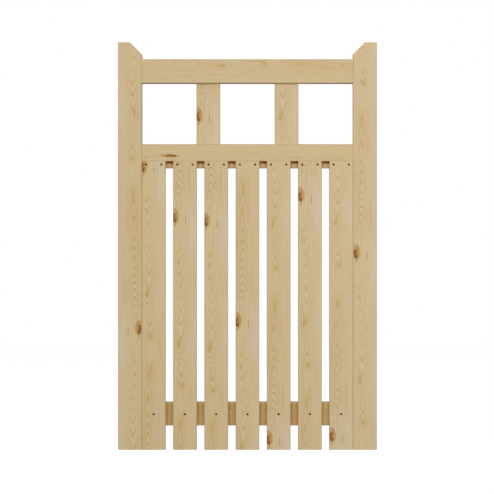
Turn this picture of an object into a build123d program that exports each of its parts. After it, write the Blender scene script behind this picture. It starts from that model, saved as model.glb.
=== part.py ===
from build123d import *
import os

# Wooden garden gate: one open-paled softwood leaf, framed with mortise and tenon joints.
# Two stiles carry a top rail, a rebated middle rail and a thinner bottom rail. Two uprights
# split the band under the top rail into three windows. Seven pales butt up under the lip of
# the middle rail, run down over the face of the bottom rail and are nailed to both.
#
# The origin is on the outer edge of the hanging stile, at mid height and mid thickness.
# +X runs across the leaf to the closing stile, -Y is the face seen from the front, +Z is up.
# Every size is in millimetres.

# Leaf
leaf_width = 762.0
leaf_height = 1200.0
frame_thickness = 45.0

# Stiles, with the inner corner of the head cut off at 45 degrees
stile_width = 70.0
head_cut = 35.0

# Rails
top_rail_height = 70.0
top_rail_drop = 50.0
window_height = 180.0
middle_rail_height = 70.0
rebate_height = 20.0
bottom_rail_height = 70.0
bottom_rail_lift = 70.0

# Uprights between the windows
upright_count = 2
upright_width = 70.0
upright_thickness = 20.0

# Pales
pale_count = 7
pale_width = 70.0
pale_thickness = 20.0

# Tenons of the rails and of the uprights, their shoulders, and the gap beyond each tenon's end
rail_tenon_length = 45.0
rail_tenon_thickness = 15.0
bottom_tenon_thickness = 12.0
rail_shoulder = 10.0
upright_tenon_length = 15.0
upright_tenon_thickness = 10.0
upright_shoulder = 10.0
tenon_end_gap = 1.5

# Nails: two in the head of each pale and one in its foot, punched just under the surface
nail_head_diameter = 5.6
nail_head_thickness = 1.2
nail_shank_diameter = 2.65
nail_point_length = 4.0
nail_point_diameter = 0.6
nail_bite = 18.0
nail_set = 0.6
nail_edge_distance = 12.5
nail_hole_clearance = 0.1

# Eased long edges of every planed board
arris_radius = 1.5

# Levels, from the foot of the leaf to its head
leaf_foot = -leaf_height / 2
leaf_head = leaf_height / 2
bottom_rail_foot = leaf_foot + bottom_rail_lift
bottom_rail_head = bottom_rail_foot + bottom_rail_height
top_rail_head = leaf_head - top_rail_drop
top_rail_foot = top_rail_head - top_rail_height
middle_rail_head = top_rail_foot - window_height
middle_rail_foot = middle_rail_head - middle_rail_height
lip_foot = middle_rail_foot + rebate_height

# Planes through the thickness, from the front to the back
front = -frame_thickness / 2
back = frame_thickness / 2
pale_back = front + pale_thickness

# Places across the leaf
clear_left = stile_width
clear_right = leaf_width - stile_width
clear_width = clear_right - clear_left
pale_gap = (clear_width - pale_count * pale_width) / (pale_count - 1)
window_width = (clear_width - upright_count * upright_width) / (upright_count + 1)


def block(x_span, y_span, z_span):
    """A plain box between two values on each axis."""
    spans = (x_span, y_span, z_span)
    size = [high - low for low, high in spans]
    middle = [(high + low) / 2 for low, high in spans]
    return Pos(*middle) * Box(*size)


def board(x_span, y_span, z_span, grain):
    """A planed board: a box whose four edges along the grain are eased."""
    blank = block(x_span, y_span, z_span)
    return fillet(blank.edges().filter_by(grain), arris_radius)


# Rail tenons and their mortises

def centred_span(middle, width):
    """The lowest and highest value of a width about its middle."""
    return middle - width / 2, middle + width / 2


# The thickness and height that each rail's tenon takes up
full_tenon_depth = centred_span((front + back) / 2, rail_tenon_thickness)
thin_tenon_depth = centred_span((pale_back + back) / 2, bottom_tenon_thickness)
rail_tenons = {
    "top_rail": (full_tenon_depth, (top_rail_foot + rail_shoulder, top_rail_head - rail_shoulder)),
    "middle_rail": (full_tenon_depth, (lip_foot, middle_rail_head - rail_shoulder)),
    "bottom_rail": (
        thin_tenon_depth,
        (bottom_rail_foot + rail_shoulder, bottom_rail_head - rail_shoulder),
    ),
}


def tenon_blocks(name, length):
    """A rail's tenon shape at both ends of the rail, reaching that length into the stiles."""
    y_span, z_span = rail_tenons[name]
    hanging = block((clear_left - length, clear_left), y_span, z_span)
    closing = block((clear_right, clear_right + length), y_span, z_span)
    return [hanging, closing]


# Upright tenons and their mortises

def upright_left_edge(index):
    """The left edge of an upright, counted from 0 at the hanging side."""
    return clear_left + window_width + index * (upright_width + window_width)


def upright_tenon(index, z_span):
    """The tenon shape of an upright between two levels."""
    left = upright_left_edge(index)
    x_span = (left + upright_shoulder, left + upright_width - upright_shoulder)
    y_span = centred_span((front + back) / 2, upright_tenon_thickness)
    return block(x_span, y_span, z_span)


# Nails and their holes

nail_head_front = front + nail_set
nail_head_back = nail_head_front + nail_head_thickness
nail_point_end = pale_back + nail_bite
nail_point_start = nail_point_end - nail_point_length


def pale_left_edge(index):
    """The left edge of a pale, counted from 0 at the hanging side."""
    return clear_left + index * (pale_width + pale_gap)


def head_nail_places(index):
    """The two points across the head of a pale, as (x, z)."""
    left = pale_left_edge(index)
    level = (middle_rail_foot + lip_foot) / 2
    return [(left + nail_edge_distance, level), (left + pale_width - nail_edge_distance, level)]


def foot_nail_places(index):
    """The one point in the foot of a pale, as (x, z)."""
    level = (bottom_rail_foot + bottom_rail_head) / 2
    return [(pale_left_edge(index) + pale_width / 2, level)]


def round_bar(place, y_span, start_diameter, end_diameter):
    """A round bar along Y at a place (x, z), straight or tapered towards the back."""
    x, z = place
    start, end = y_span
    length = end - start
    if start_diameter == end_diameter:
        bar = Cylinder(start_diameter / 2, length)
    else:
        bar = Cone(start_diameter / 2, end_diameter / 2, length)
    return Pos(x, (start + end) / 2, z) * Rot(-90, 0, 0) * bar


def nail_at(place):
    """A nail driven in from the front: a flat head, a round shank and a point."""
    head_span = (nail_head_front, nail_head_back)
    shank_span = (nail_head_back, nail_point_start)
    point_span = (nail_point_start, nail_point_end)
    head = round_bar(place, head_span, nail_head_diameter, nail_head_diameter)
    shank = round_bar(place, shank_span, nail_shank_diameter, nail_shank_diameter)
    point = round_bar(place, point_span, nail_shank_diameter, nail_point_diameter)
    return head + shank + point


def nail_hole_at(place):
    """The hole that a nail sits in: its punched head's seat, and its shank's hole."""
    seat_diameter = nail_head_diameter + 2 * nail_hole_clearance
    hole_diameter = nail_shank_diameter + 2 * nail_hole_clearance
    hole_end = nail_point_end + nail_hole_clearance
    seat = round_bar(place, (front, nail_head_back), seat_diameter, seat_diameter)
    hole = round_bar(place, (nail_head_back, hole_end), hole_diameter, hole_diameter)
    return seat + hole


def drill(piece, places):
    """A piece with a nail hole at each place."""
    for place in places:
        piece = piece - nail_hole_at(place)
    return piece


all_head_nail_places = [place for index in range(pale_count) for place in head_nail_places(index)]
all_foot_nail_places = [place for index in range(pale_count) for place in foot_nail_places(index)]

parts = {}

# Stiles: full-height boards, mortised on the inner edge, with the inner corner of the head cut

def stile(x_span, inner_edge, outward):
    """A stile between two places; outward is the way from its inner edge to its outer edge."""
    post = board(x_span, (front, back), (leaf_foot, leaf_head), Axis.Z)
    corner = Polyline(
        (inner_edge, leaf_head),
        (inner_edge + outward * head_cut, leaf_head),
        (inner_edge, leaf_head - head_cut),
        close=True,
    )
    post = post - extrude(Plane.XZ * make_face(corner), amount=frame_thickness, both=True)
    for name in rail_tenons:
        for mortise in tenon_blocks(name, rail_tenon_length + tenon_end_gap):
            post = post - mortise
    return post


parts["hanging_stile"] = stile((0.0, clear_left), clear_left, -1)
parts["closing_stile"] = stile((clear_right, leaf_width), clear_right, 1)

# Top rail: the uprights are mortised into its underside

upright_mortise_depth = upright_tenon_length + tenon_end_gap

top_rail = board((clear_left, clear_right), (front, back), (top_rail_foot, top_rail_head), Axis.X)
for tenon in tenon_blocks("top_rail", rail_tenon_length):
    top_rail = top_rail + tenon
for index in range(upright_count):
    mortise_span = (top_rail_foot, top_rail_foot + upright_mortise_depth)
    top_rail = top_rail - upright_tenon(index, mortise_span)
parts["top_rail"] = top_rail

# Middle rail: rebated in front for the heads of the pales, mortised on top for the uprights

middle_rail = block((clear_left, clear_right), (front, back), (middle_rail_foot, middle_rail_head))
rebate = block((clear_left, clear_right), (front, pale_back), (middle_rail_foot, lip_foot))
middle_rail = middle_rail - rebate
long_edges = middle_rail.edges().filter_by(Axis.X)
rebate_corner = long_edges.sort_by_distance((leaf_width / 2, pale_back, lip_foot))[:1]
middle_rail = fillet(long_edges - rebate_corner, arris_radius)
for tenon in tenon_blocks("middle_rail", rail_tenon_length):
    middle_rail = middle_rail + tenon
for index in range(upright_count):
    mortise_span = (middle_rail_head - upright_mortise_depth, middle_rail_head)
    middle_rail = middle_rail - upright_tenon(index, mortise_span)
parts["middle_rail"] = drill(middle_rail, all_head_nail_places)

# Bottom rail: thinner by the pales that run over it, and flush with the back of the frame

bottom_rail = board(
    (clear_left, clear_right), (pale_back, back), (bottom_rail_foot, bottom_rail_head), Axis.X
)
for tenon in tenon_blocks("bottom_rail", rail_tenon_length):
    bottom_rail = bottom_rail + tenon
parts["bottom_rail"] = drill(bottom_rail, all_foot_nail_places)

# Uprights: thin boards in the middle of the frame's thickness, tenoned into both rails

for index in range(upright_count):
    left = upright_left_edge(index)
    y_span = centred_span((front + back) / 2, upright_thickness)
    upright = board((left, left + upright_width), y_span, (middle_rail_head, top_rail_foot), Axis.Z)
    upright = upright + upright_tenon(index, (top_rail_foot, top_rail_foot + upright_tenon_length))
    upright = upright + upright_tenon(
        index, (middle_rail_head - upright_tenon_length, middle_rail_head)
    )
    parts[f"upright_{index + 1}"] = upright

# Pales, and the nails of each pale

for index in range(pale_count):
    left = pale_left_edge(index)
    pale = board((left, left + pale_width), (front, pale_back), (leaf_foot, lip_foot), Axis.Z)
    places = head_nail_places(index) + foot_nail_places(index)
    parts[f"pale_{index + 1}"] = drill(pale, places)
    parts[f"nails_of_pale_{index + 1}"] = Compound(children=[nail_at(place) for place in places])

os.makedirs("parts", exist_ok=True)
for name, shape in parts.items():
    export_step(shape, f"parts/{name}.step")
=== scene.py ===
import math

import bpy
import numpy as np
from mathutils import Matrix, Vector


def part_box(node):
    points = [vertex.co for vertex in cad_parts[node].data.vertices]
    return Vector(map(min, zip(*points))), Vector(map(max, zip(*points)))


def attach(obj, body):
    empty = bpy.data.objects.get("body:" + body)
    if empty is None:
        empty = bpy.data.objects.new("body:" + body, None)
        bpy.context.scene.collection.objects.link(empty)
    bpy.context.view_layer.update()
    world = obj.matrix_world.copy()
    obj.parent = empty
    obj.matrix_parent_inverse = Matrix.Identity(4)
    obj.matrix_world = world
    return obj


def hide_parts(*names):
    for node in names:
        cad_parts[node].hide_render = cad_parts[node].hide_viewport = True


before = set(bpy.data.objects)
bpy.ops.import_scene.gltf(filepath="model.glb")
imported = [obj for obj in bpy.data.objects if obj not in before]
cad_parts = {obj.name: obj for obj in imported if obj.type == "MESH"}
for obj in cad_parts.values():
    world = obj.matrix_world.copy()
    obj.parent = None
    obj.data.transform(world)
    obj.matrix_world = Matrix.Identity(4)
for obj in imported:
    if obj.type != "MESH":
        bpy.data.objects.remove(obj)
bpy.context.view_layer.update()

# Stiles
# Two full-height boards of planed pine, 70 by 45 mm, with eased edges. The inner corner of each
# head is sawn off at 45 degrees, and every rail is tenoned into the stiles' inner edges. The pine
# is pressure treated, which leaves it a pale matt honey with a faint green cast.

# Millimetres in a metre
MM = 1000.0


class Field:
    """A value that varies over a surface. It wraps one socket, and arithmetic adds Math nodes."""

    def __init__(self, tree, socket=None):
        self.tree = tree
        self.socket = socket

    def add(self, kind, settings, inputs, output=0):
        """Adds a node: its settings first, then a value or a link for each named socket."""
        node = self.tree.nodes.new(kind)
        for name, value in settings.items():
            setattr(node, name, value)
        for name, value in inputs.items():
            if isinstance(value, Field):
                self.tree.links.new(value.socket, node.inputs[name])
            else:
                node.inputs[name].default_value = value
        return Field(self.tree, node.outputs[output])

    def math(self, operation, *others):
        """A Math node on this value, and on others where the operation takes them."""
        inputs = dict(enumerate((self, *others)))
        return self.add("ShaderNodeMath", {"operation": operation}, inputs)

    def __add__(self, other):
        return self.math("ADD", other)

    __radd__ = __add__

    def __sub__(self, other):
        return self.math("SUBTRACT", other)

    def __rsub__(self, other):
        return self.math("MULTIPLY_ADD", -1.0, other)

    def __mul__(self, other):
        return self.math("MULTIPLY", other)

    __rmul__ = __mul__

    def __truediv__(self, other):
        return self.math("DIVIDE", other)

    def far(self, other):
        """The length of the diagonal whose sides are this value and another."""
        return (self * self + other * other).math("SQRT")

    def ramp(self, low, high):
        """0 below one value and 1 above another, with a straight line between them."""
        inputs = {"Value": self, "From Min": low, "From Max": high}
        return self.add("ShaderNodeMapRange", {}, inputs)

    def rise(self, low, high):
        """0 below one value and 1 above another, with a smooth step between them."""
        settings = {"interpolation_type": "SMOOTHSTEP"}
        inputs = {"Value": self, "From Min": low, "From Max": high}
        return self.add("ShaderNodeMapRange", settings, inputs)

    def bell(self, middle, spread):
        """1 at one value, falling off both ways as a bell curve of that spread."""
        away = (self - middle) / spread
        return (away * away * -1.0).math("EXPONENT")

    def between(self, first, second, blend="MIX"):
        """A colour from the first to the second, or to another blend of the two, as this value
        goes from 0 to 1. A Mix node's colours are its inputs 6 and 7 and its output 2."""
        settings = {"data_type": "RGBA", "blend_type": blend}
        return self.add("ShaderNodeMix", settings, {0: self, 6: first, 7: second}, 2)

    def parts(self):
        """The three numbers of this vector."""
        inputs = {"Vector": self}
        return [self.add("ShaderNodeSeparateXYZ", {}, inputs, axis) for axis in "XYZ"]

    def noise(self, pattern, shift=0.0):
        """Smooth noise about 0.5 over this place. A pattern is the size of its patches along each
        axis, its own place in the noise and its detail, and the shift moves it on from there."""
        size, own_place, detail = pattern
        scale = [1.0 / length for length in size]
        moved = shift + own_place
        inputs = {0: self, 1: scale, 2: (moved, moved, moved)}
        place = self.add("ShaderNodeVectorMath", {"operation": "MULTIPLY_ADD"}, inputs)
        return self.add("ShaderNodeTexNoise", {}, {"Vector": place, "Scale": 1.0, "Detail": detail})


def screen(red, green, blue):
    """A screen colour from 0 to 255 as the linear colour that renders as it."""
    linear = [((value / 255 + 0.055) / 1.055) ** 2.4 for value in (red, green, blue)]
    return (*linear, 1.0)


# Colours of the pine: its spring and summer wood, its warm, pale, pink and green stretches, the
# resin, bark and soil in it, the painted shade on its edges, its knots, and the ends of its boards
spring_wood = screen(208, 186, 144)
summer_wood = screen(172, 141, 88)
honey_wood = screen(197, 165, 104)
pale_wood = screen(210, 194, 164)
pink_wood = screen(206, 168, 140)
green_wood = screen(198, 184, 134)
resin = screen(184, 148, 76)
bark_streak = screen(136, 110, 64)
soiled_and_shaded_wood = screen(158, 128, 84)
knot_halo = screen(192, 151, 92)
knot_shoulder = screen(165, 124, 70)
knot_bark = screen(120, 75, 26)
knot_heart = screen(196, 136, 62)
end_wood = screen(176, 146, 98)

# The grain is measured in millimetres. It repeats after this length, with one whorl of knots in
# it, and the first knot comes out this far across
whorl_spacing = 1000.0
first_knot_across = 5.5
# The log's heart is this far across and back in a board where the branches start
heart_across = 20.0
heart_back = 15.0
# Elsewhere it starts this far across, moves on from one place along to another, and bends out
# and back about some places, each with its spread
heart_start = 12.0
heart_moves = [(60, 250, 11.0), (540, 680, -4.0), (870, 960, -7.0)]
heart_bends = [(388, 36, -8.0), (480, 35, 2.0)]
# From the first of these stretches to the second it lies this much nearer the face
shallow_from = (330, 450)
shallow_to = (930, 990)
shallow_by = 7.0
# Rings are this wide at the heart, and beyond this distance they narrow outwards
heart_ring = 5.0
wide_rings = 18.0
narrowing = 0.002
# Rings that the face gains or loses between two places along the grain, one for each arch
ring_climbs = [
    (68, 318, 7),
    (318, 384, 1.6),
    (384, 437, 3.8),
    (437, 503, 2),
    (590, 725, -2),
    (725, 777, -2),
    (777, 810, -1),
    (810, 878, -3),
    (878, 922, -2),
    (922, 1000, -4.4),
]
# Shares of a ring between which its summer wood sets in, and between which it ends
summer_starts = (0.48, 0.9)
summer_ends = (0.93, 1.0)
# A branch climbs this much for each millimetre outwards, and is never a smaller share of its
# full thickness than this
branch_climb = 0.3
least_girth = 0.05

# Patches in the face: place along and its spread, place across and its spread, and strength.
# Some arches show more than others, some stretches are warmer or paler, resin has gathered in
# the tips of a few arches, and there is one soiled line
clear_arches = [
    (125, 42, 17, 6, 0.17),
    (345, 60, 22, 15, 0.3),
    (468, 36, 24, 16, 0.3),
    (655, 62, 22, 18, 0.44),
    (765, 34, 20, 20, 0.42),
    (825, 40, 18, 18, 0.26),
    (878, 30, 20, 20, 0.44),
    (913, 20, 16, 12, 0.5),
]
honey_stretches = [
    (365, 26, 14, 9, 0.2),
    (494, 15, 25, 12, 0.3),
    (590, 20, 22, 8, 0.22),
    (645, 80, 18, 16, 0.34),
    (775, 75, 9, 11, 0.4),
    (905, 25, 10, 9, 0.3),
]
pale_stretches = [
    (55, 75, 58, 19, 0.72),
    (345, 110, 62, 17, 0.42),
    (965, 30, 48, 16, 0.25),
]
resin_stretches = [
    (373, 10, 15, 9, 0.52),
    (496, 11, 25, 11, 0.56),
    (596, 14, 22, 9, 0.3),
    (725, 8, 18, 5, 0.35),
]
soiled_lines = [(870, 55, 48, 1.8, 0.24)]

# Patterns of noise in the wood: the size of their patches across, back and along a board, a
# place in the noise for each, and their detail
slow_bends = ((24, 24, 110), 3.1, 2.0)
quick_bends = ((6, 6, 18), 7.7, 2.0)
fibres = ((0.9, 0.9, 45), 1.3, 3.0)
fine_streaks = ((3.2, 3.2, 200), 5.9, 3.0)
warm_stretches = ((7, 30, 70), 11.0, 3.0)
blushes = ((4.5, 30, 130), 17.0, 2.0)
knot_ripples = ((3.5, 3.5, 8), 23.0, 3.0)
knot_mottle = ((2.2, 2.2, 5), 31.0, 3.0)
knot_flecks = ((2.4, 2.4, 4), 43.0, 2.0)

# Ovals in and round a knot: how far aside and below the knot's middle theirs is, and their half
# sizes, all as shares of the knot's half sizes. The swelling leans to one side, the tail hangs
# under the knot, and the glow is the paler wood in its core
swelling = (0.8, -0.55, 2.0, 1.75)
knot_tail = (0.05, 1.25, 0.6, 0.85)
core_glow = (0.4, -0.3, 0.9, 0.95)
# The streak of bark beside the first knot, as an oval across and along the board
bark_oval = (36.7, 5.0, 1.9, 20.0)


def standing(node, knot_level, knot_across, mirrored=False):
    """Places the grain of an upright board. Its measures are millimetres across from the edge
    beside its knot, back from its front face, and down from its knot."""
    low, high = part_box(node)
    side = -MM if mirrored else MM
    edge = high.x if mirrored else low.x
    location = (first_knot_across - knot_across - side * edge, -MM * low.y, knot_level)
    return {"Location": location, "Rotation": (0, 0, 0), "Scale": (side, MM, -MM)}


def patches(length, across, places):
    """Soft oval patches: for each place, its strength times a bell curve along, which repeats
    with the grain, times one across."""
    half = whorl_spacing / 2
    shares = []
    for place, spread, side, width, strength in places:
        away = (length - place).math("WRAP", half, -half)
        shares.append(strength * away.bell(0, spread) * across.bell(side, width))
    return sum(shares)


def from_oval(aside, below, oval):
    """How far a place lies from an oval's middle: 1 on the oval itself, and less inside it. The
    oval is how far aside and below its middle is, and its half sizes those ways."""
    middle_aside, middle_below, half_aside, half_below = oval
    return ((aside - middle_aside) / half_aside).far((below - middle_below) / half_below)


def branch(across, back, along, face_point):
    """How far a place lies aside and below a branch's axis, for a branch as thick as where it
    comes out. The branch is a cone from the log's heart to a point across and back."""
    reach_across = face_point[0] - heart_across
    reach_back = face_point[1] - heart_back
    reach = math.hypot(reach_across, reach_back)
    lean_across, lean_back = reach_across / reach, reach_back / reach
    from_heart = (across - heart_across) * lean_across + (back - heart_back) * lean_back
    aside = (back - heart_back) * lean_across - (across - heart_across) * lean_back
    below = along + branch_climb * (from_heart - reach)
    girth = (from_heart / reach).math("MAXIMUM", least_girth)
    return aside / girth, below / girth


def summer_share(board, across, back, length, branches, shift):
    """How far a place lies across from the log's heart, and its share of summer wood. Rings are
    counted by the distance from the heart, plus a sweep along the grain, plus noise, and they
    bend round each knot."""
    moves = sum(move * length.rise(first, last) for first, last, move in heart_moves)
    bends = sum(bend * length.bell(place, spread) for place, spread, bend in heart_bends)
    heart_aside = across - (heart_start + moves + bends)
    shallow = shallow_by * length.rise(*shallow_from) * (1.0 - length.rise(*shallow_to))
    from_heart = heart_aside.far(back - (heart_back - shallow))
    outer = (from_heart - wide_rings).math("MAXIMUM", 0.0)
    sweep = sum(count * length.ramp(first, last) for first, last, count in ring_climbs)
    slow = board.noise(slow_bends, shift) - 0.5
    quick = board.noise(quick_bends, shift) - 0.5
    rings = from_heart / heart_ring + narrowing * outer * outer + sweep + slow * 0.9 + quick * 0.5
    for aside, below, half_sizes in branches:
        near = (aside / half_sizes[0]).far(below / half_sizes[1])
        rings = rings + near.bell(0, 2.4) * 1.2
    phase = rings.math("FRACT")
    return heart_aside, phase.rise(*summer_starts) * (1.0 - phase.rise(*summer_ends))


def knot_colour(colour, board, aside, below, half_sizes, shift):
    """Paints one knot: the swollen wood round it, browner above it and at its rim, a short tail
    below it, and its core of heart wood in bark. Each is an oval in shares of its half sizes."""
    aside = aside / half_sizes[0]
    below = below / half_sizes[1]
    ripple = board.noise(knot_ripples, shift) - 0.5
    core = aside.far(below) + ripple * 0.55
    swollen = from_oval(aside, below, swelling) + ripple * 0.3
    above = (1.0 - swollen.rise(0.25, 1.0)) * (1.0 - below.rise(-1.5, -0.5))
    tail = 1.0 - from_oval(aside, below, knot_tail).rise(0.2, 1.0)
    halo = (1.0 - swollen.rise(0.62, 1.08)) * 0.9
    shoulder = swollen.bell(0.86, 0.13) * 0.35 + above * 0.75 + tail * 0.75
    colour = halo.between(colour, knot_halo)
    colour = shoulder.between(colour, knot_shoulder)
    mottle = board.noise(knot_mottle, shift) - 0.5
    glow = 1.0 - (from_oval(aside, below, core_glow) + mottle * 3.0).rise(0.3, 1.1)
    flecks = board.noise(knot_flecks, shift).rise(0.5, 0.64)
    heart = (glow * (1.0 - 0.65 * flecks)).between(knot_bark, knot_heart)
    rim = core.bell(0.84, 0.16) * (0.6 - 0.5 * aside.rise(-0.2, 0.6))
    inside = rim.between(heart, knot_bark)
    return (1.0 - core.rise(0.86, 1.08)).between(colour, inside)


def timber(
    node, grain, grain_axis, knots, shift=0.0, nails=(), painted_shade=None, figure=1.0, painted_light=0.0
):
    """Gives a board its planed pine. Its rings are the distance from the log's heart plus a sweep
    along the grain, so they show as arches on a face and as circles on an end. Each knot is a
    face point, a level and half sizes. A painted shade takes a place and a colour, and darkens it
    where shade falls. The figure is how much the arches show, and the painted light, a paleness
    that lightens boards towards the leaf's right as if more light fell there, is added to the whole
    board."""
    material = bpy.data.materials.new(f"pine_{node}")
    material.use_nodes = True
    tree = material.node_tree
    surface = tree.nodes["Principled BSDF"]
    start = Field(tree)
    coordinates = start.add("ShaderNodeTexCoord", {}, {}, "Object")
    facing = start.add("ShaderNodeTexCoord", {}, {}, "Normal")
    board = start.add("ShaderNodeMapping", {}, {"Vector": coordinates, **grain})
    across, back, along = board.parts()
    length = along.math("FLOORED_MODULO", whorl_spacing)

    # Rings, and how much they show in each place
    branches = [
        (*branch(across, back, along - level, face_point), half_sizes)
        for face_point, level, half_sizes in knots
    ]
    heart_aside, late = summer_share(board, across, back, length, branches, shift)
    arches = 0.12 * heart_aside.bell(0, 20) + patches(length, across, clear_arches)
    contrast = 0.16 + 1.12 * figure * arches

    # Colour of clear wood: its rings, fibres and streaks, and then its warm, pale, pink and green
    # stretches, its soiled line, and the resin in the tips of its arches
    fibre = board.noise(fibres, shift)
    streaks = board.noise(fine_streaks, shift)
    warmth = board.noise(warm_stretches, shift)
    blush = board.noise(blushes, shift)
    colour = (late * contrast).between(spring_wood, summer_wood)
    colour = ((streaks - 0.4) * 0.3 + (fibre - 0.5) * 0.2).between(colour, summer_wood)
    honey = patches(length, across, honey_stretches) + 0.5 * warmth.rise(0.48, 0.8)
    colour = honey.between(colour, honey_wood)
    cool = 0.3 * (1.0 - warmth.rise(0.25, 0.5))
    # The painted light makes a board paler all over, more so for boards towards the leaf's right
    pale = patches(length, across, pale_stretches) + painted_light + cool
    colour = pale.between(colour, pale_wood)
    colour = (blush.rise(0.5, 0.72) * 0.4).between(colour, pink_wood)
    colour = ((1.0 - blush.rise(0.28, 0.48)) * 0.4).between(colour, green_wood)
    colour = patches(length, across, soiled_lines).between(colour, soiled_and_shaded_wood)
    tips = patches(length, across, resin_stretches) * (0.45 + 0.55 * late)
    colour = tips.between(colour, resin)

    # Knots, with a streak of bark in the face beside the first
    for aside, below, half_sizes in branches:
        colour = knot_colour(colour, board, aside, below, half_sizes, shift)
    streak = 1.0 - from_oval(across, along, bark_oval).rise(0.3, 1.0)
    colour = (streak * back.bell(0, 9) * 0.6).between(colour, bark_streak)

    # Painted shade in a ring round each nail, at the rim of its punched seat
    for nail_across, nail_along in nails:
        away = (across - nail_across).far(along - nail_along)
        colour = (away.bell(2.9, 0.9) * 0.6).between(colour, knot_bark)

    # Eased arrises, darkened with painted shade along every edge and joint: on each, two margins
    # from the board's faces are both small
    low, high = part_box(node)
    place = coordinates.parts()
    margins = 0.0
    for side in {0, 1, 2} - {grain_axis}:
        middle = (high[side] + low[side]) / 2
        half = MM * (high[side] - low[side]) / 2
        margins = margins + half - MM * (place[side] - middle).math("ABSOLUTE")
    colour = ((1.0 - margins.rise(1.0, 3.0)) * 0.25).between(colour, soiled_and_shaded_wood)

    # Ends: cut across the grain, darker and rougher
    turned = facing.parts()[grain_axis]
    end = turned.math("ABSOLUTE").rise(0.5, 0.85)
    colour = (end * 0.55).between(colour, end_wood)
    colour = (end * late * 0.5).between(colour, summer_wood)
    # Painted shade, for the boards that take it
    if painted_shade:
        colour = painted_shade(place, colour)

    height = fibre * 0.6 + late * 0.4
    inputs = {"Strength": 0.3, "Distance": 0.0003, "Height": height}
    relief = start.add("ShaderNodeBump", {}, inputs)
    roughness = 0.56 + 0.16 * fibre + 0.1 * end
    tree.links.new(colour.socket, surface.inputs["Base Color"])
    tree.links.new(roughness.socket, surface.inputs["Roughness"])
    tree.links.new(relief.socket, surface.inputs["Normal"])
    surface.inputs["Specular IOR Level"].default_value = 0.3
    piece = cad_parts[node]
    piece.data.materials.clear()
    piece.data.materials.append(material)


upright_axis = 2
level_axis = 0
stile_width = 70.0
stile_thickness = 45.0
stile_shift = 0.02
# A knot is the point where it comes out, its level, and its half sizes
front_knot = ((first_knot_across, 0.0), 0.0, (4.6, 14.0))
back_knot = ((46.0, stile_thickness), 12.0, (6.0, 9.0))

# For each stile, the level of its knot, how far across it is, whether the grain is mirrored, and
# the board's painted light, which makes boards towards the leaf's right paler as if more lit
stile_knots = {
    "hanging_stile": (-245.5, 9.0, True, 0.0),
    "closing_stile": (-23.1, 9.8, False, 0.16),
}
for index, (node, (knot_level, knot_across, mirrored, painted_light)) in enumerate(stile_knots.items()):
    knots = [front_knot, back_knot]
    grain = standing(node, knot_level, knot_across, mirrored)
    timber(node, grain, upright_axis, knots, shift=index * stile_shift, painted_light=painted_light)

# Top rail
# A planed board of the stiles' section, laid level between them and tenoned into both. The two
# uprights are mortised into its underside.

# Where along the leaf the grain starts, how far across the log the rail's top edge lies, and how
# far across the grain runs for each millimetre below that edge
top_start = -66.0
top_edge_across = 35.0
top_spread = -1.0
top_shift = 0.4
faint_figure = 0.32


def lying(node, grain_start, edge_across, spread):
    """Places the grain of a level board. Its measures are millimetres across, which have one
    value at the board's top edge and change by the spread for each millimetre below it, back
    from its front face, and along from a place where its grain starts."""
    low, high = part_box(node)
    location = (edge_across + spread * MM * high.z, -MM * low.y, -grain_start)
    scale = (-MM, MM, -MM * spread)
    return {"Location": location, "Rotation": (0, math.pi / 2, 0), "Scale": scale}


grain = lying("top_rail", top_start, top_edge_across, top_spread)
timber("top_rail", grain, level_axis, [], shift=top_shift, figure=faint_figure)

# Middle rail
# A board of the same section, tenoned into the stiles. Its lower front is rebated away, which
# leaves a lip that the heads of the pales butt up under. The rebate's face is warmed and darkened
# with painted shade, with a painted shadow band and a darker painted corner under the lip.

# Painted shade: colours for the rebate's face, the shadow band under the lip, and its darker corner
rebate_shade_wood = screen(204, 164, 112)
lip_shadow_wood = screen(176, 124, 48)
corner_shade_wood = screen(120, 62, 8)
# Depths and levels in the leaf between which the rebate's face starts and ends, the lip's
# underside starts, and the painted shadow band and the painted dark corner under the lip set in
rebate_starts = (-21, -15)
rebate_ends = (2, 6)
lip_starts = (250.2, 251)
shadow_band_starts = (241, 242.5)
corner_shade_starts = (246, 249.5)


def paint_rebate_shade(place, colour):
    """Paints shade into the rebate: warms and darkens its face, and paints a shadow band and a
    darker corner under the lip. It takes a place in metres."""
    depth, level = MM * place[1], MM * place[2]
    face = depth.rise(*rebate_starts) * (1.0 - depth.rise(*rebate_ends))
    rebated = face * (1.0 - level.rise(*lip_starts))
    colour = (rebated * 0.5).between(colour, rebate_shade_wood)
    colour = (rebated * level.rise(*shadow_band_starts)).between(colour, lip_shadow_wood)
    return (rebated * level.rise(*corner_shade_starts) * 0.35).between(colour, corner_shade_wood)


# The knot lies this far across and this far below the rail's top edge, and its log was slimmer
middle_start = 157.0
middle_knot_across = 6.5
middle_knot_drop = 35.0
middle_spread = 2.6
middle_shift = 0.8
middle_edge_across = middle_knot_across - middle_knot_drop * middle_spread
middle_knot = ((middle_knot_across, 0.0), 0.0, (6.6, 15.0))
grain = lying("middle_rail", middle_start, middle_edge_across, middle_spread)
timber("middle_rail", grain, level_axis, [middle_knot], shift=middle_shift, painted_shade=paint_rebate_shade)

# Bottom rail
# A thinner board, 25 mm thick, set flush with the back of the frame so that the pales run over
# its face. It shows in the gaps between them, where its front is warmed and darkened with painted
# shade.

# Painted shade: the warm, darker tint of the rail's front in the gaps
painted_shade_tint = (0.89, 0.75, 0.54, 1.0)
# Levels in the leaf between which the rail's front gives way to its top face
top_face_starts = (-467, -460.5)
bottom_start = -400.0
bottom_edge_across = 0.0
bottom_spread = 1.0
bottom_shift = 1.2


def paint_gap_shade(place, colour):
    """Paints shade: multiplies a colour by a warm, darker tint below the rail's top face."""
    below_top = 1.0 - (MM * place[2]).rise(*top_face_starts)
    return below_top.between(colour, painted_shade_tint, "MULTIPLY")


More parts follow.
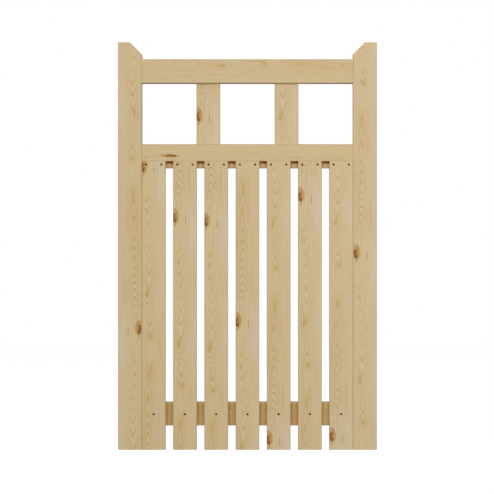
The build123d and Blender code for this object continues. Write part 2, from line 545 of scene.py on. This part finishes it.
grain = lying("bottom_rail", bottom_start, bottom_edge_across, bottom_spread)
timber("bottom_rail", grain, level_axis, [], shift=bottom_shift, painted_shade=paint_gap_shade)

# Uprights
# Two short thin boards in the middle of the frame's thickness, tenoned into the top and middle
# rails. They part the band under the top rail into three windows.

upright_knot_across = 6.9
# For each upright, the level of its knot and the board's painted light, paler towards the leaf's
# right
upright_knots = {"upright_1": (380.7, 0.0), "upright_2": (752.0, 0.1)}
for node, (knot_level, painted_light) in upright_knots.items():
    grain = standing(node, knot_level, upright_knot_across)
    timber(node, grain, upright_axis, [front_knot], painted_light=painted_light)

# Pales
# Seven boards, 70 by 20 mm, butted up under the lip of the middle rail and nailed to it and to
# the bottom rail. The outer two lie against the stiles, and the gaps between them are all alike.

# For each pale, the level of its knot, how far across it is, and the board's painted light, paler
# towards the leaf's right
pale_knots = [
    (231.2, 5.0, 0.0),
    (82.9, 6.0, 0.0),
    (71.1, 5.7, 0.0),
    (-224.3, 6.5, 0.0),
    (-571.3, 6.6, 0.04),
    (145.0, 8.0, 0.06),
    (-561.3, 8.1, 0.14),
]
pale_width = stile_width
pale_shift = 0.015
nail_inset = 12.5
head_nail_level = 240.0
foot_nail_level = -495.0
for number, (knot_level, knot_across, painted_light) in enumerate(pale_knots, start=1):
    node = f"pale_{number}"
    edge_across = first_knot_across - knot_across
    nails = [
        (edge_across + nail_inset, knot_level - head_nail_level),
        (edge_across + pale_width - nail_inset, knot_level - head_nail_level),
        (edge_across + pale_width / 2, knot_level - foot_nail_level),
    ]
    grain = standing(node, knot_level, knot_across)
    shift = number * pale_shift
    timber(node, grain, upright_axis, [front_knot], shift=shift, nails=nails, painted_light=painted_light)

# Nails
# Round wire nails, driven from the front and punched just under the face: two in the head of
# each pale and one in its foot. The steel has darkened, and the punch has rubbed the rims.

# All in millimetres. The shank has a few shallow grooves under the head, for grip
nail_head_radius = 2.8
nail_shank_radius = 1.325
nail_groove_radius = 1.2
nail_dimple = 0.30
nail_point = 37.4
nail_sides = 24
# Radius and depth of a nail's profile from the middle of its head to its point, and how square
# its section is there. Depths are from the front of the head
nail_profile = np.array([
    (0.60, 0.26, 0.0),
    (1.00, 0.14, 0.0),
    (1.35, 0.03, 0.0),
    (1.80, 0.00, 0.0),
    (2.40, 0.04, 0.0),
    (2.70, 0.16, 0.0),
    (nail_head_radius, 0.36, 0.0),
    (nail_head_radius, 0.95, 0.0),
    (2.65, 1.20, 0.0),
    (nail_shank_radius, 1.20, 0.0),
    (nail_shank_radius, 2.50, 0.0),
    (nail_groove_radius, 2.80, 0.0),
    (nail_shank_radius, 3.10, 0.0),
    (nail_groove_radius, 3.80, 0.0),
    (nail_shank_radius, 4.10, 0.0),
    (nail_groove_radius, 4.80, 0.0),
    (nail_shank_radius, 5.10, 0.0),
    (nail_shank_radius, 33.2, 0.0),
    (1.25, 34.0, 1.0),
    (0.35, 37.2, 1.0),
])
# Radius of a nail's head in metres, and the angle past which its edges stay sharp
head_radius = nail_head_radius / MM
sharp_angle = math.radians(35)


def nail_surface(middle, front):
    """Vertices and faces of one nail about an axis along Y. A ring of points at each place of the
    profile has that radius; a square section takes it at its corners. A fan closes each end."""
    radius, depth, square = nail_profile.T / np.array([[MM], [MM], [1.0]])
    turn = np.arange(nail_sides) * 2 * np.pi / nail_sides
    flat = np.cos(np.pi / 4) / np.maximum(np.abs(np.cos(turn)), np.abs(np.sin(turn)))
    reach = radius[:, None] * (1 + square[:, None] * (flat[None, :] - 1))
    x = middle[0] + reach * np.cos(turn)
    z = middle[1] + reach * np.sin(turn)
    y = front + np.broadcast_to(depth[:, None], x.shape)
    ends = [
        (middle[0], front + nail_dimple / MM, middle[1]),
        (middle[0], front + nail_point / MM, middle[1]),
    ]
    points = np.concatenate([np.stack([x, y, z], axis=-1).reshape(-1, 3), ends])
    rows = len(radius)
    here = np.arange(nail_sides)
    after = (here + 1) % nail_sides
    ring = np.arange(rows - 1)[:, None] * nail_sides
    below = ring + nail_sides
    quads = np.stack([ring + here, below + here, below + after, ring + after], axis=-1)
    last = (rows - 1) * nail_sides
    head_end, point_end = rows * nail_sides, rows * nail_sides + 1
    head_fan = np.stack([np.full(nail_sides, head_end), here, after], axis=-1)
    point_fan = np.stack([np.full(nail_sides, point_end), last + after, last + here], axis=-1)
    return points, quads.reshape(-1, 4), np.concatenate([head_fan, point_fan])


dark_steel = screen(60, 38, 12)
rubbed_steel = screen(112, 80, 32)
# Patches of scale on the steel, as a pattern of noise in metres
steel_scale = ((0.0006, 0.0006, 0.0006), 0.0, 3.0)


def nail_steel():
    """Darkened steel. Each point's distance from its nail's axis, as a share of the head's
    radius, is in the attribute rim."""
    material = bpy.data.materials.new("darkened_steel")
    material.use_nodes = True
    tree = material.node_tree
    surface = tree.nodes["Principled BSDF"]
    start = Field(tree)
    rim = start.add("ShaderNodeAttribute", {"attribute_name": "rim"}, {}, "Fac")
    place = start.add("ShaderNodeTexCoord", {}, {}, "Object")
    scale = place.noise(steel_scale)
    worn = rim.rise(0.55, 0.95) * (0.6 + 0.4 * scale)
    colour = worn.between(dark_steel, rubbed_steel)
    tree.links.new(colour.socket, surface.inputs["Base Color"])
    tree.links.new((0.5 + 0.3 * scale).socket, surface.inputs["Roughness"])
    surface.inputs["Metallic"].default_value = 0.85
    return material


steel = nail_steel()
for number in range(1, len(pale_knots) + 1):
    node = f"nails_of_pale_{number}"
    low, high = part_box(node)
    head_level = high.z - head_radius
    middles = [
        (low.x + head_radius, head_level),
        (high.x - head_radius, head_level),
        ((low.x + high.x) / 2, low.z + head_radius),
    ]
    points, faces, rims, first = [], [], [], 0
    for middle in middles:
        places, quads, fans = nail_surface(middle, low.y)
        points.append(places)
        faces += (quads + first).tolist() + (fans + first).tolist()
        away = np.hypot(places[:, 0] - middle[0], places[:, 2] - middle[1])
        rims.append(away / head_radius)
        first += len(places)
    mesh = bpy.data.meshes.new(f"wire_nails_{number}")
    mesh.from_pydata(np.concatenate(points).tolist(), [], faces)
    mesh.attributes.new("rim", "FLOAT", "POINT").data.foreach_set("value", np.concatenate(rims))
    mesh.polygons.foreach_set("use_smooth", np.ones(len(faces), bool))
    mesh.set_sharp_from_angle(angle=sharp_angle)
    mesh.materials.append(steel)
    wire_nails = bpy.data.objects.new(f"wire_nails_{number}", mesh)
    bpy.context.scene.collection.objects.link(wire_nails)
    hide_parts(node)
    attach(wire_nails, "root")

# Floor and background
# A plain pale floor lies a little under the hanging leaf. To the camera it and the world are
# white, and the floor keeps a faint shadow. To the leaf both are dimmer.

floor_level = -0.66
floor_half = 8.0
floor_mesh = bpy.data.meshes.new("floor")
corners = [(-1, -1), (1, -1), (1, 1), (-1, 1)]
floor_points = [(x * floor_half, y * floor_half, floor_level) for x, y in corners]
floor_mesh.from_pydata(floor_points, [], [(0, 1, 2, 3)])
floor = bpy.data.objects.new("floor", floor_mesh)
bpy.context.scene.collection.objects.link(floor)


def seen_directly(start):
    """1 for a ray from the camera, or one that a mirror or glass sends on, and 0 for any other."""
    camera = start.add("ShaderNodeLightPath", {}, {}, "Is Camera Ray")
    glossy = start.add("ShaderNodeLightPath", {}, {}, "Is Glossy Ray")
    through = start.add("ShaderNodeLightPath", {}, {}, "Is Transmission Ray")
    return camera.math("MAXIMUM", glossy).math("MAXIMUM", through)


warm_grey = (0.21, 0.185, 0.14, 1)
near_white = (0.9, 0.9, 0.9, 1)
white = (1, 1, 1, 1)
floor_glow = 1.1
shadow_share = 0.14
floor_paint = bpy.data.materials.new("pale_floor")
floor_paint.use_nodes = True
tree = floor_paint.node_tree
start = Field(tree)
matt = start.add("ShaderNodeBsdfDiffuse", {}, {"Color": warm_grey})
shaded = start.add("ShaderNodeBsdfDiffuse", {}, {"Color": near_white})
bright = start.add("ShaderNodeEmission", {}, {"Color": white, "Strength": floor_glow})
shown = start.add("ShaderNodeMixShader", {}, {0: shadow_share, 1: bright, 2: shaded})
floor_shader = start.add("ShaderNodeMixShader", {}, {0: seen_directly(start), 1: matt, 2: shown})
tree.links.new(floor_shader.socket, tree.nodes["Material Output"].inputs["Surface"])
floor_mesh.materials.append(floor_paint)

soft_light = 0.36
world = bpy.data.worlds.new("studio")
world.use_nodes = True
bpy.context.scene.world = world
tree = world.node_tree
start = Field(tree)
strength = soft_light + (1.0 - soft_light) * seen_directly(start)
tree.links.new(strength.socket, tree.nodes["Background"].inputs["Strength"])
tree.nodes["Background"].inputs["Color"].default_value = white

# Lamps
# A long low key lamp from the upper left gives the narrow shadows under the lip and in the gaps,
# and broad soft lamps from the right and the front fill them. Another lights the back.

leaf_middle = (0.381, 0.0, 0.0)


def lamp(name, place, **settings):
    """An area lamp at a place, turned to shine at the leaf's middle. The camera doesn't see it."""
    data = bpy.data.lights.new(name, "AREA")
    for key, value in settings.items():
        setattr(data, key, value)
    light = bpy.data.objects.new(name, data)
    light.location = place
    away = np.array(leaf_middle) - np.array(place)
    turn = math.atan2(away[0], away[1])
    tilt = math.atan2(away[2], math.hypot(away[0], away[1]))
    light.rotation_euler = (math.pi / 2 + tilt, 0, -turn)
    light.visible_camera = False
    bpy.context.scene.collection.objects.link(light)


key_distance = 12.0
key_left = math.radians(21.5)
key_up = math.radians(20)
key_place = (
    leaf_middle[0] - key_distance * math.tan(key_left),
    -key_distance,
    key_distance * math.tan(key_up),
)
lamp("key", key_place, energy=590.0, shape="RECTANGLE", size=1.9, size_y=0.45)
lamp("fill", (2.0, -3.6, 0.4), energy=60.0, shape="SQUARE", size=2.4)
lamp("front", (0.4, -7.0, -0.3), energy=66.0, shape="SQUARE", size=4.0)
lamp("back", (-1.4, 4.2, 1.6), energy=84.0, shape="SQUARE", size=2.8)

# Camera
# It looks level and square at the front of the leaf, from well back.

camera_data = bpy.data.cameras.new("camera")
camera_data.lens = 150.95
camera_data.sensor_width = 36.0
camera = bpy.data.objects.new("camera", camera_data)
camera.location = (0.3797, -6.12, -0.0028)
camera.rotation_euler = (math.pi / 2, 0, 0)
bpy.context.scene.collection.objects.link(camera)
bpy.context.scene.camera = camera
bpy.context.scene.view_settings.view_transform = "Standard"
